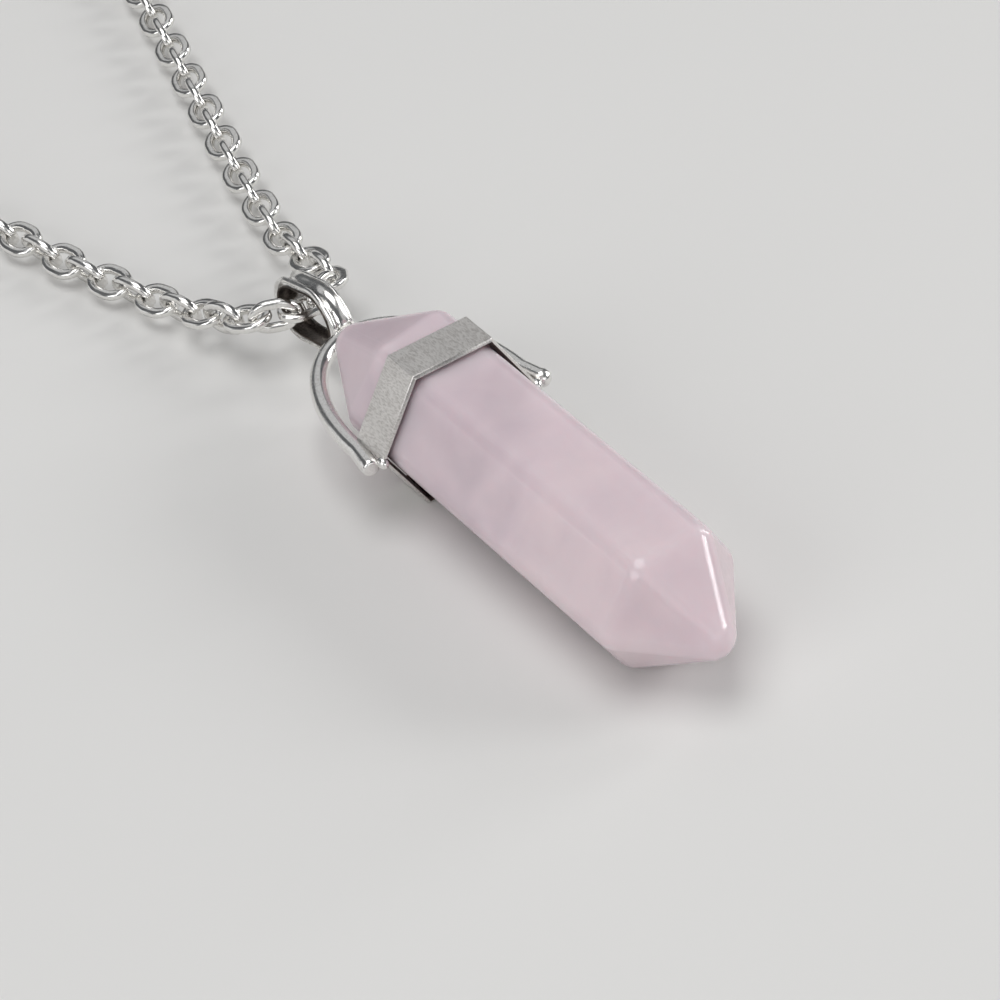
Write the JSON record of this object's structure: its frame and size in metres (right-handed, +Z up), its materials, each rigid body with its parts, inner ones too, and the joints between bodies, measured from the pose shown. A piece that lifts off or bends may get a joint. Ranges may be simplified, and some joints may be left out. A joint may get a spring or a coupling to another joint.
{
  "type": "crystal point pendant",
  "caption": "Hexagonal pale pink quartz point in a soldered band and arch setting with a strip bail, hung on a closed cable chain and lying flat.",
  "frame": {"origin": "middle of the whole part's box, on the table that it lies on", "axes": "+Y from the crystal's lower point towards the chain's far end, +Z up from the table, +X to the right"},
  "size_m": [0.0814, 0.2381, 0.0086],
  "materials": {
    "rose_quartz": "polished, cloudy and pale pink",
    "silver": "satin and polished"
  },
  "bodies": {
    "root": {"crystal": "rose_quartz", "setting": "silver", "chain": "silver", "clasp": "silver"}
  },
  "joints": []
}
